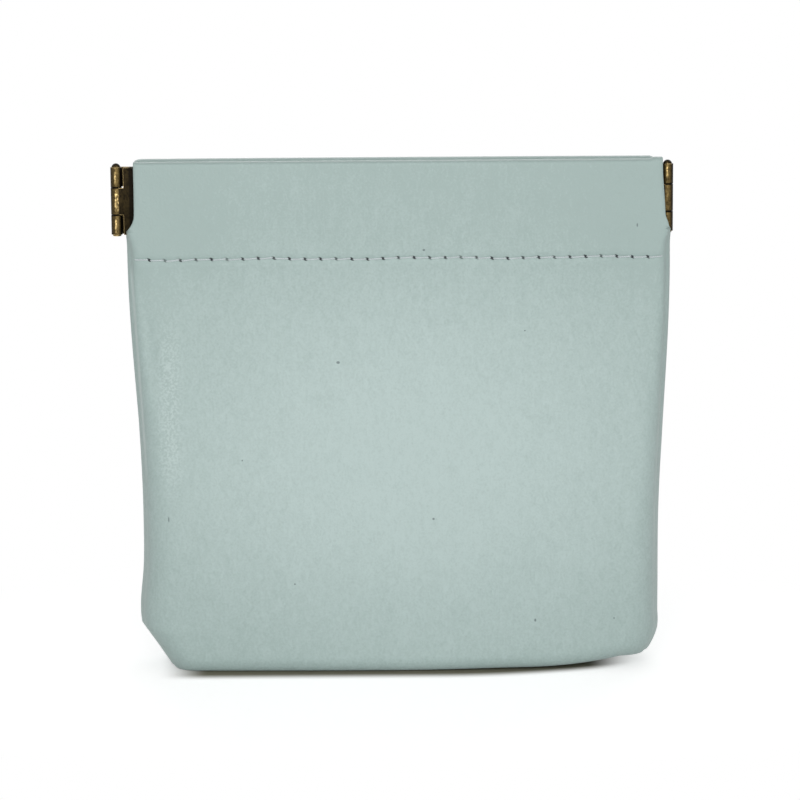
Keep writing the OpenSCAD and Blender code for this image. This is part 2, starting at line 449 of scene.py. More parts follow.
@dataclass(frozen=True)
class StitchLine:
    """The row of stitching under a casing, about the pouch's middle."""

    height: float
    face: float
    count: int
    pitch: float = 2.77
    drift: tuple[tuple[float, float, float], ...] = ((0.10, 0.21, 0.4), (0.06, 0.53, 1.3))

    @classmethod
    def from_frame(cls, shape: PouchShape) -> "StitchLine":
        """Reads the line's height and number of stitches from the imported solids.

        Args:
            shape: Form of the pouch.

        Returns:
            The line.
        """
        low, high = (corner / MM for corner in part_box("front_topstitch"))
        gap = 0.22
        return cls(height=(low.z + high.z) / 2, face=shape.casing_y,
                   count=int(round((high.x - low.x) / cls.pitch + gap)))

    def level(self, x: Any) -> Any:
        """Height of the line at x, with its slight wander."""
        return self.height + sum(size * np.sin(rate * x + lag) for size, rate, lag in self.drift)

    @property
    def hole_phase(self) -> float:
        """Part of a pitch from the middle to a needle hole, raised by whole pitches to stay above 0."""
        return 100.5 + (0.0 if self.count % 2 == 0 else 0.5)


# Meshes


def cut_off(points: np.ndarray, reach: float) -> np.ndarray:
    """Cuts both ends of a line where it goes further than reach from the middle in X.

    Args:
        points: Points of the line, from left to right.
        reach: Distance that is kept.

    Returns:
        The points that are left, with new ends.
    """
    for _ in range(2):
        inside = int(np.argmax(points[:, 0] > -reach))
        if inside > 0:
            before, after = points[inside - 1], points[inside]
            part = (-reach - before[0]) / (after[0] - before[0])
            points = np.vstack([before + (after - before) * part, points[inside:]])
        points = points[::-1] * np.array([-1, 1])
    return points


def spaced(points: np.ndarray, count: int) -> np.ndarray:
    """Evenly spaced points along a line.

    Args:
        points: Points of the line.
        count: Number of points returned.

    Returns:
        The new points, from one end to the other.
    """
    lengths = np.concatenate([[0], np.cumsum(np.linalg.norm(np.diff(points, axis=0), axis=1))])
    at = np.linspace(0, lengths[-1], count)
    return np.stack([np.interp(at, lengths, points[:, i]) for i in range(points.shape[1])], axis=1)


def spread(*marks: float) -> np.ndarray:
    """Values from the first mark to the last; every second mark is the step between its neighbours.

    Args:
        marks: Ends of the spans, with a step between each two.

    Returns:
        The values, each end once.
    """
    parts = [np.linspace(low, high, max(2, int(round(abs(high - low) / step)) + 1))[:-1]
             for low, step, high in zip(marks[::2], marks[1::2], marks[2::2])]
    return np.concatenate(parts + [[marks[-1]]])


def in_scene(name: str, data: bpy.types.ID) -> bpy.types.Object:
    """New object of a mesh, light or camera, linked to the scene.

    Args:
        name: Name of the object.
        data: The mesh, light or camera.

    Returns:
        The object.
    """
    made = bpy.data.objects.new(name, data)
    bpy.context.scene.collection.objects.link(made)
    return made


def mesh_object(name: str, points: np.ndarray, faces: list[tuple[int, ...]]) -> bpy.types.Object:
    """Makes a smooth object at the origin from points in millimetres.

    Args:
        name: Name of the object.
        points: One point a row.
        faces: Numbers of each face's points.

    Returns:
        The object.
    """
    mesh = bpy.data.meshes.new(name)
    mesh.from_pydata((points * MM).tolist(), [], faces)
    mesh.validate()
    piece = in_scene(name, mesh)
    tidy_mesh(piece)
    return piece


def bake(piece: bpy.types.Object, modifier: bpy.types.Modifier) -> bpy.types.Mesh:
    """Gives a piece the modifier's result as its own mesh, and takes the modifier away.

    Args:
        piece: The piece.
        modifier: The modifier, on the piece.

    Returns:
        The new mesh.
    """
    graph, before = bpy.context.evaluated_depsgraph_get(), piece.data
    mesh = bpy.data.meshes.new_from_object(piece.evaluated_get(graph), depsgraph=graph)
    piece.modifiers.remove(modifier)
    piece.data = mesh
    bpy.data.meshes.remove(before)
    mesh.name = piece.name
    return mesh


def tidy_mesh(piece: bpy.types.Object) -> None:
    """Turns faces outwards and shades them smoothly.

    Args:
        piece: The piece.
    """
    made = bmesh.new()
    made.from_mesh(piece.data)
    bmesh.ops.recalc_face_normals(made, faces=made.faces)
    for face in made.faces:
        face.smooth = True
    made.to_mesh(piece.data)
    made.free()


def points_of(piece: bpy.types.Object) -> np.ndarray:
    """A piece's points in millimetres.

    Args:
        piece: The piece.

    Returns:
        One point a row.
    """
    points = np.empty(len(piece.data.vertices) * 3, np.float32)
    piece.data.vertices.foreach_get("co", points)
    return points.reshape(-1, 3).astype(float) / MM


def shell(name: str, outer: np.ndarray, inner: np.ndarray, chamfer: float = 0.12) -> bpy.types.Object:
    """Closed skin between two grids of points of the same size.

    Args:
        name: Name of the piece.
        outer: Outer face, rows by columns by xyz, in millimetres.
        inner: Inner face with the same rows and columns.
        chamfer: How much the cut edges at both ends of the rows are broken.

    Returns:
        The object, with an "edge" attribute that is 1 on its cut edges.
    """
    rows, columns = outer.shape[:2]
    outer, inner = outer.copy(), inner.copy()

    def broken(column: int, neighbour: int) -> tuple[np.ndarray, np.ndarray]:
        """Breaks the edge at one end of the rows and returns the two lines on it.

        Args:
            column: Column at the end.
            neighbour: Column next to it.

        Returns:
            The line near the outer face and the one near the inner face.
        """
        across = inner[:, column] - outer[:, column]
        along = outer[:, neighbour] - outer[:, column]
        across /= np.linalg.norm(across, axis=1, keepdims=True)
        along /= np.linalg.norm(along, axis=1, keepdims=True)
        lines = outer[:, column] + across * chamfer, inner[:, column] - across * chamfer
        outer[:, column] += along * chamfer
        inner[:, column] += along * chamfer
        return lines

    left, right = broken(0, 1), broken(columns - 1, columns - 2)
    ring = np.concatenate([outer, right[0][:, None], right[1][:, None],
                           inner[:, ::-1], left[1][:, None], left[0][:, None]], axis=1)
    count = ring.shape[1]
    last = (rows - 1) * count
    faces = [(row + i, row + (i + 1) % count, row + count + (i + 1) % count, row + count + i)
             for row in range(0, last, count) for i in range(count)]
    for start in (0, last):
        turn, back = start + columns - 1, start + 2 * columns
        faces += [(start + i, start + i + 1, back - i, back + 1 - i) for i in range(columns - 1)]
        faces += [(turn, turn + 1, turn + 2, turn + 3), (start, back + 1, back + 2, back + 3)]
    piece = mesh_object(name, ring.reshape(-1, 3), faces)
    edge = np.zeros((rows, count), np.float32)
    edge[:, [columns, columns + 1, count - 1, count - 2]] = 1.0
    piece.data.attributes.new("edge", "FLOAT", "POINT").data.foreach_set("value", edge.ravel())
    sharpen_ends(piece, rows, count)
    return piece


def sharpen_ends(piece: bpy.types.Object, rows: int, count: int) -> None:
    """Keeps the shading apart along the first and last row, where two pieces meet flush.

    Args:
        piece: The piece.
        rows: Number of rows.
        count: Number of points in a row.
    """
    mesh = piece.data
    sharp = mesh.attributes.get("sharp_edge") or mesh.attributes.new("sharp_edge", "BOOLEAN", "EDGE")
    pairs = [[vertex // count for vertex in edge.vertices] for edge in mesh.edges]
    sharp.data.foreach_set("value", [a == b and a in (0, rows - 1) for a, b in pairs])


def outward(grid: np.ndarray) -> np.ndarray:
    """Unit normals of a grid, pointing to the front.

    Args:
        grid: Rows by columns by xyz.

    Returns:
        One normal a point.
    """
    normal = np.cross(np.gradient(grid, axis=1), np.gradient(grid, axis=0))
    normal /= np.maximum(np.linalg.norm(normal, axis=2, keepdims=True), 1e-9)
    return normal


def ripple(x: np.ndarray, z: np.ndarray, scale: tuple[float, float], seed: float) -> np.ndarray:
    """Smooth noise from -1 to 1 over a face, with scale in millimetres along x and z."""
    values = [noise.noise(Vector((a / scale[0], b / scale[1], seed))) for a, b in zip(x.ravel(), z.ravel())]
    return np.array(values).reshape(x.shape)


# Motion


@dataclass(frozen=True)
class MouthMotion:
    """How the mouth opens: each wall leans out and its casing bows between the hinges."""

    lean: float
    turn: float
    pin_x: float
    crease_y: float
    crease_z: float
    frame_z: float
    pouch: PouchShape
    plate: float = 9.0
    casing_from: float = 70.0
    casing_run: float = 9.0

    @classmethod
    def from_frame(cls, pouch: PouchShape) -> "MouthMotion":
        """Reads the angles and places of the joints.

        Args:
            pouch: Form of the pouch.

        Returns:
            The motion.
        """
        joints = {joint["name"]: joint for joint in frame["record"]["behaviour"]["joints"]}
        wall, plate = joints["rear_wall_open"], joints["left_rear_plate_turn"]
        return cls(lean=math.radians(wall["range_deg"][1]), turn=math.radians(plate["range_deg"][1]),
                   pin_x=abs(plate["pos_m"][0]) / MM, crease_y=wall["pos_m"][1] / MM,
                   crease_z=wall["pos_m"][2] / MM, frame_z=plate["pos_m"][2] / MM, pouch=pouch)

    def weights(self, points: np.ndarray) -> np.ndarray:
        """Share of the wall's lean that each point takes.

        Args:
            points: Points at rest in millimetres, in the row frame.

        Returns:
            One weight a point: 0 stays with the base, 1 leans with the wall.
        """
        x, y, z = points.T
        out = np.abs(x)
        slope = math.tan(self.turn)
        free = self.pin_x - self.plate
        rise = slope / (2 * free)
        bow = np.where(out > free, (self.pin_x - out) * slope,
                       (self.plate + free / 2) * slope - rise * out ** 2)
        angle = np.arctan(np.where(out > free, slope, 2 * rise * out))
        shift = np.maximum(bow, 0) + np.abs(y) * (1 / np.cos(angle) - 1)
        arm = np.maximum(z - self.crease_z, 1.0)
        upright = np.arcsin(np.clip(shift / arm, -1, 1)) / self.lean
        leaning = np.arcsin(shift / (self.frame_z - self.crease_z)) / self.lean
        casing = leaning + (upright - leaning) * ease((out - free + 4) / 6)
        half = self.pouch.half_width(np.maximum(z, 0.0))
        body = np.maximum(0, 1 - ((x - self.pouch.centre_x) / half) ** 2)
        return body + (casing - body) * ease((z - self.casing_from) / self.casing_run)

    def attach(self, piece: bpy.types.Object, side: Side) -> None:
        """Bakes a wall's piece into place and works out the share of the wall's lean that each point takes,
        which is not used.

        Args:
            piece: The piece.
            side: Side of the pouch; not used.
        """
        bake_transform(piece)
        weights = self.weights(points_of(piece)).astype(np.float32)


# Finishes


@dataclass(frozen=True)
class LeatherFinish:
    """Soft grey-green leather with a fine satin grain, with painted light and shade over its walls."""

    pouch: PouchShape
    line: StitchLine
    tone: Colour = srgb(187, 205, 202)
    shade: Colour = srgb(166, 185, 181)
    # Colour of the painted highlights along the left side seam.
    pale: Colour = srgb(206, 221, 218)
    edge: Colour = srgb(160, 178, 174)
    hole: Colour = srgb(30, 38, 42)
    speck: Colour = srgb(92, 104, 106)
    specks: tuple[tuple[float, float, float, float], ...] = (
        (-9.8, 55.6, 0.34, 0.26), (7.0, 28.1, 0.24, 0.20), (5.6, 75.5, 0.26, 0.20),
        (-40.2, 28.1, 0.12, 0.50), (23.5, 61.0, 0.16, 0.14), (-27.0, 38.5, 0.14, 0.16),
        (43.5, 79.7, 0.14, 0.36), (25.1, 9.6, 0.20, 0.30), (39.2, 9.8, 0.12, 0.22), (-17.8, 16.5, 0.16, 0.18))

    def build(self) -> bpy.types.Material:
        """Makes the material.

        Returns:
            The material.
        """
        paint = Paint.start("grey_green_leather")
        place = paint.place()
        x, y, z = paint.split(place)
        mottle = paint.cloud(place, 55, 4.0, 0.6)
        cloudy = paint.cloud(paint.stretch(place, (1, 1, 0.45)), 260)
        fine = paint.cloud(place, 2600, 2.0)
        creases = paint.cloud(paint.stretch(place, (1, 1, 0.6)), 900, 4.0, 1.2)
        streaks = paint.cloud(paint.stretch(place, (1, 1, 0.12)), 1500, 3.0, 0.3)
        # Painted light and shade: each wall goes from the tone colour round the middle of the belly to the
        # shade colour towards its edges.
        from_middle = ((x - 4.0) / 60) ** 2.0 + ((z - 36.0) / 47) ** 2.0
        brightened = 1 - paint.step(from_middle ** 0.5, 0.15, 1.2)
        drawn = paint.step(z, 55.0, 80.0) * 0.22 + 0.10
        # Painted shade: the casing darkens towards its ends.
        ends = paint.step(abs(x), 22.0, 46.0) * paint.step(z, 66.0, 80.0) * 0.32
        grain = (fine - 0.5) * 1.1 + (creases - 0.5) * 0.9
        tint = brightened * 0.85 + mottle * 0.25 + cloudy * 0.25 + (streaks - 0.5) * drawn + grain - ends - 0.2
        colour = paint.blend(tint, self.shade, self.tone)
        colour = paint.blend(paint.step(fine, 0.58, 0.8) * 0.22, colour, self.shade)
        # Painted highlight along the fold by the left side seam and on the crest beside it.
        colour = paint.blend(self.seam_highlight(paint, x, z, fine) * paint.step(y, -0.3, -0.8), colour, self.pale)
        cut = paint.out("ShaderNodeAttribute", output="Fac", attribute_name="edge")
        colour = paint.blend(cut * 0.8, colour, self.edge)
        front = paint.step(y, -1.0, -2.0)
        for at_x, at_z, wide, high in self.specks:
            away = ((x - at_x) / wide) ** 2.0 + ((z - at_z) / high) ** 2.0
            colour = paint.blend(paint.step(away, 1.4, 0.3) * front * 0.75, colour, self.speck)
        # Painted shade: the needle holes are darkened.
        hole = self.holes(paint, x, z) * paint.step(abs(y), 1.9, 2.2)
        colour = paint.blend(hole * (0.15 + paint.cloud(place, 330, 1.0) * 1.5), colour, self.hole)
        pores = paint.out("ShaderNodeTexVoronoi", {"Vector": place, "Scale": 2300}, feature="SMOOTH_F1")
        height = pores * 0.35 + creases * 0.5 + fine * 0.15 + streaks * drawn - hole * 1.5
        return paint.finish(
            Base_Color=colour, Roughness=0.46 + mottle * 0.14, Specular_IOR_Level=0.42,
            Sheen_Weight=0.06, Normal=paint.bump(height, 0.00016, 0.5))

    def seam_highlight(self, paint: Paint, x: Wire, z: Wire, fine: Wire) -> Wire:
        """Mask of a painted highlight along the fold by the left side seam, and of a painted streak of
        highlight on the crest beside it.

        Args:
            paint: The material's nodes.
            x: Place along X in millimetres.
            z: Height in millimetres.
            fine: Fine noise.

        Returns:
            The mask.
        """
        seam = paint.step(abs(x + 44.4 + (z - 38.0) * 0.062), 0.42, 0.1)
        seam = seam * paint.step(z, 33.0, 42.0) * paint.step(z, 73.5, 70.0)
        streak_highlight = paint.step(abs(x + 39.8), 3.0, 0.4) * paint.step(z, 30.0, 40.0) * paint.step(z, 66.0, 54.0)
        return seam * 0.6 + streak_highlight * paint.step(fine, 0.44, 0.62) * 0.32

    def holes(self, paint: Paint, x: Wire, z: Wire) -> Wire:
        """Mask of the needle holes between the stitches, which are darkened with painted shade.

        Args:
            paint: The material's nodes.
            x: Place along X in millimetres.
            z: Height in millimetres.

        Returns:
            The mask.
        """
        along = x - self.pouch.centre_x
        level = self.line.height
        for size, rate, lag in self.line.drift:
            level = paint.math("SINE", along * rate + lag) * size + level
        part = (paint.math("FRACT", along / self.line.pitch + self.line.hole_phase) - 0.5) * self.line.pitch
        rise = z - level
        long, wide = part * 0.86 - rise * 0.5, part * 0.5 + rise * 0.86
        inner = paint.step(abs(along), 46.2, 45.8)
        return paint.step((long / 0.44) ** 2.0 + (wide / 0.25) ** 2.0, 1.3, 0.5) * inner


@dataclass(frozen=True)
class LiningFinish:
    """Plain woven lining."""

    warp: Colour = srgb(128, 138, 137)
    weft: Colour = srgb(104, 114, 114)
    threads: float = 2400.0

    def build(self) -> bpy.types.Material:
        """Makes the material.

        Returns:
            The material.
        """
        paint = Paint.start("woven_lining")
        place = paint.place()
        x, y, z = paint.split(place)
        rate = self.threads * MM * math.tau
        weave = paint.step(paint.math("SINE", x * rate) * paint.math("SINE", (z + y) * rate), -0.6, 0.6)
        colour = paint.blend(weave * 0.7 + paint.cloud(place, 120) * 0.3, self.weft, self.warp)
        return paint.finish(Base_Color=colour, Roughness=0.85, Sheen_Weight=0.25,
                            Normal=paint.bump(weave, 0.00006, 0.5))


@dataclass(frozen=True)
class BrassFinish:
    """Dark antique brass, bright where it is handled on its broken edges, with a painted sheen and a painted
    highlight on the barrels and painted shade.
    """

    pin_x: float
    shade_black: Colour = srgb(13, 10, 7)
    dark: Colour = srgb(20, 16, 9)
    brown: Colour = srgb(47, 39, 22)
    sheen_gold: Colour = srgb(116, 98, 60)
    bright: Colour = srgb(244, 214, 150)
    joints_z: tuple[float, float] = (81.88, 86.78)
    head_z: float = 90.4
    casing_x: float = 46.5

    def build(self) -> bpy.types.Material:
        """Makes the material.

        Returns:
            The material.
        """
        paint = Paint.start("antique_brass")
        place = paint.place()
        x, y, z = paint.split(place)
        tarnish = paint.cloud(place, 420, 5.0, 0.5)
        grime = paint.cloud(paint.stretch(place, (1, 1, 0.7)), 3400)
        patina = paint.step(tarnish * 0.4 + grime * 0.6, 0.32, 0.68)
        across, ahead, _ = paint.split(paint.out("ShaderNodeTexCoord", output="Normal"), 1.0)
        facing = abs(ahead * 0.98 + across * 0.14)
        inner = paint.step(across * paint.math("SIGN", x) * -1.0, -0.75, 0.3)
        rolled = paint.step(((abs(x) - self.pin_x) ** 2.0 + y ** 2.0) ** 0.5, 1.15, 1.05)
        # Darkens the top of the pin head, and paints shade on the leaf beside the casing's edge, on the
        # barrel beside each knuckle gap and on the barrel's sides that turn away from the front.
        unshaded = 1 - paint.step(z, self.head_z, self.head_z + 0.1) * 0.7
        unshaded = unshaded * (1 - paint.step(abs(x), self.casing_x + 0.4, self.casing_x) * 0.85)
        for level in self.joints_z:
            unshaded = unshaded * (1 - paint.step(abs(z - level), 0.26, 0.08) * rolled)
        unshaded = unshaded * (1 - rolled * paint.step(facing, 0.66, 0.3) * 0.9)
        # Painted sheen: each barrel is painted a lighter brass where it faces the front, more on its side
        # towards the middle of the purse.
        painted_sheen = rolled * paint.step(facing, 0.4, 0.9) * (inner * 0.7 + 0.3) * ((grime - 0.5) * 2.2 + 0.8)
        wear = paint.out("ShaderNodeAttribute", output="Fac", attribute_name="wear")
        # The broken edges are bright wear; the narrow stripe down the front of each barrel is a painted
        # highlight.
        wear_and_highlight = paint.math("MAXIMUM", wear, facing ** 40.0 * rolled * 0.9)
        brightened = paint.step(wear_and_highlight + (grime - 0.5) * 0.9, 0.35, 0.85)
        colour = paint.blend(patina, self.dark, self.brown)
        colour = paint.blend(painted_sheen, colour, self.sheen_gold)
        colour = paint.blend(brightened, colour, self.bright)
        colour = paint.blend(unshaded, self.shade_black, colour)
        return paint.finish(
            Base_Color=colour, Metallic=0.95, Roughness=0.48 - brightened * unshaded * 0.18 + (1 - patina) * 0.08,
            Normal=paint.bump(tarnish * 0.5 + grime * 0.5, 0.00004, 0.35))


@dataclass(frozen=True)
class SteelFinish:
    """Bright rolled spring strip."""

    bright: Colour = srgb(196, 198, 200)
    dull: Colour = srgb(150, 152, 156)

    def build(self) -> bpy.types.Material:
        """Makes the material.

        Returns:
            The material.
        """
        paint = Paint.start("spring_steel")
        place = paint.place()
        rolled = paint.cloud(paint.stretch(place, (0.02, 1, 1)), 5200, 4.0)
        colour = paint.blend(rolled * 0.5 + paint.cloud(place, 150, 4.0) * 0.5, self.dull, self.bright)
        return paint.finish(Base_Color=colour, Metallic=1.0, Roughness=0.28 + rolled * 0.14,
                            Normal=paint.bump(rolled, 0.00001, 0.4))


@dataclass(frozen=True)
class ThreadFinish:
    """Twisted pale sewing thread."""

    pale: Colour = srgb(226, 233, 235)
    deep: Colour = srgb(186, 198, 200)
    lay: float = 0.42

    def build(self) -> bpy.types.Material:
        """Makes the material.

        Returns:
            The material.
        """
        paint = Paint.start("twisted_thread")
        place = paint.place()
        x, _, z = paint.split(place)
        ply = paint.step(paint.math("SINE", (x + z * 1.4) * (math.tau / self.lay)), -0.9, 0.5)
        # Painted shade: the thread is darker in the grooves of its twist.
        colour = paint.blend(ply * 0.8 + paint.cloud(place, 5200, 2.0) * 0.2, self.deep, self.pale)
        return paint.finish(Base_Color=colour, Roughness=0.7, Sheen_Weight=0.3,
                            Normal=paint.bump(ply, 0.00008, 0.6))


@dataclass
class Bench:
    """Finishes the pieces: material, the solid that each stands for and what it moves with."""

    motion: MouthMotion
    materials: dict[str, bpy.types.Material]

    def fit(self, piece: bpy.types.Object, slot: str, node: str, mover: Side | str) -> bpy.types.Object:
        """Finishes one new piece.

        Args:
            piece: The piece.
            slot: The record's slot of its material.
            node: The solid that it stands for.
            mover: The side whose wall it belongs to, or the body that it rides on.

        Returns:
            The same piece.
        """
        piece.data.materials.clear()
        piece.data.materials.append(self.materials[slot])
        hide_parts(node)
        if isinstance(mover, Side):
            self.motion.attach(piece, mover)
        else:
            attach(piece, mover)
        return piece

    def cover(self, node: str, slot: str) -> None:
        """Gives a CAD node that stays its material.

        Args:
            node: The node.
            slot: The record's slot of its material.
        """
        solid = frame["nodes"][node]
        if not solid.material_slots:
            solid.data.materials.append(self.materials[slot])
        for place in solid.material_slots:
            place.link = "OBJECT"
            place.material = self.materials[slot]


# Stitches


@dataclass
class StitchTree:
    """Geometry Nodes that lay a row of stitches along a line."""

    thread: bpy.types.Material
    length: float = 2.2
    thickness: float = 0.25
    rise: float = 0.08
    dive: float = 0.26
    slant: float = -0.06
    wobble: float = 0.05
    seed: int = 7
    inputs: dict[str, str] = field(default_factory=dict)

    def __post_init__(self) -> None:
        """Builds the tree."""
        self.tree = bpy.data.node_groups.new("stitch_row", "GeometryNodeTree")
        face = self.tree.interface
        kinds = {"Line": "Geometry", "Stitches": "Int", "Seed": "Int", "Thread": "Material"}
        kinds |= dict.fromkeys(("Length", "Thickness", "Rise", "Dive", "Slant", "Wobble"), "Float")
        for name, kind in kinds.items():
            socket = face.new_socket(name, in_out="INPUT", socket_type=f"NodeSocket{kind}")
            self.inputs[name] = socket.identifier
        face.new_socket("Row", in_out="OUTPUT", socket_type="NodeSocketGeometry")
        board = NodeBoard(self.tree)
        entry = board.node("NodeGroupInput")
        given = {name: Wire(board, entry.outputs[name]) for name in kinds}
        curve = board.out("GeometryNodeMeshToCurve", {0: given["Line"]})
        points = board.out("GeometryNodeResampleCurve", {"Curve": curve, "Count": given["Stitches"]})
        heading = board.out("FunctionNodeAlignRotationToVector",
                            {"Vector": board.out("GeometryNodeInputTangent")}, axis="X")
        laid = board.out("GeometryNodeInstanceOnPoints", {
            "Points": points, "Instance": self.stitch(board, given), "Rotation": heading})
        spin = board.out("FunctionNodeRandomValue", {
            2: given["Wobble"] * -1.0, 3: given["Wobble"], "Seed": given["Seed"]}, 1, data_type="FLOAT")
        turned = board.out("GeometryNodeRotateInstances", {
            "Instances": laid, "Rotation": board.vector(0.0, given["Slant"] + spin, 0.0)})
        real = board.out("GeometryNodeRealizeInstances", {0: turned})
        smooth = board.out("GeometryNodeSetShadeSmooth", {0: real})
        done = board.out("GeometryNodeSetMaterial", {"Geometry": smooth, "Material": given["Thread"]})
        board.node("NodeGroupOutput", {0: done})

    def stitch(self, board: NodeBoard, given: dict[str, Wire]) -> Wire:
        """One stitch: an arch of thread whose ends dive into the leather.

        Args:
            board: The tree's nodes.
            given: The tree's inputs by name.

        Returns:
            The stitch's mesh.
        """
        half, rise, dive = given["Length"] * 0.5, given["Rise"] * -1.5, given["Dive"]
        arch = board.out("GeometryNodeCurvePrimitiveBezierSegment", {
            "Resolution": 12,
            "Start": board.vector(half * -1.0, dive, 0.0),
            "Start Handle": board.vector(half * -0.86, rise, 0.0),
            "End Handle": board.vector(half * 0.86, rise, 0.0),
            "End": board.vector(half, dive, 0.0)}, mode="POSITION")
        along = board.out("GeometryNodeSplineParameter")
        plump = board.math("SINE", along * math.pi) * 0.3 + 0.75
        arch = board.out("GeometryNodeSetCurveRadius", {"Curve": arch, "Radius": plump})
        ring = board.out("GeometryNodeCurvePrimitiveCircle",
                         {"Resolution": 8, "Radius": given["Thickness"] * 0.5}, mode="RADIUS")
        return board.out("GeometryNodeCurveToMesh", {"Curve": arch, "Profile Curve": ring, "Fill Caps": True})

    def row(self, name: str, line: np.ndarray, count: int, place: Matrix) -> bpy.types.Object:
        """Lays one row and turns it into a plain mesh.

        Args:
            name: Name of the piece.
            line: Points of the line in millimetres, running along +X and facing -Y.
            count: Number of stitches.
            place: Moves the finished row to where it belongs.

        Returns:
            The row as a mesh object at the origin.
        """
        path = bpy.data.meshes.new(f"{name}_line")
        path.from_pydata((line * MM).tolist(), [(i, i + 1) for i in range(len(line) - 1)], [])
        piece = in_scene(name, path)
        modifier = piece.modifiers.new("stitches", "NODES")
        modifier.node_group = self.tree
        sizes = {"Stitches": count, "Length": self.length * MM, "Thickness": self.thickness * MM,
                 "Rise": self.rise * MM, "Dive": self.dive * MM, "Slant": self.slant,
                 "Wobble": self.wobble, "Seed": self.seed, "Thread": self.thread}
        for key, value in sizes.items():
            modifier[self.inputs[key]] = value
        bake(piece, modifier).transform(place)
        tidy_mesh(piece)
        return piece


# Pouch


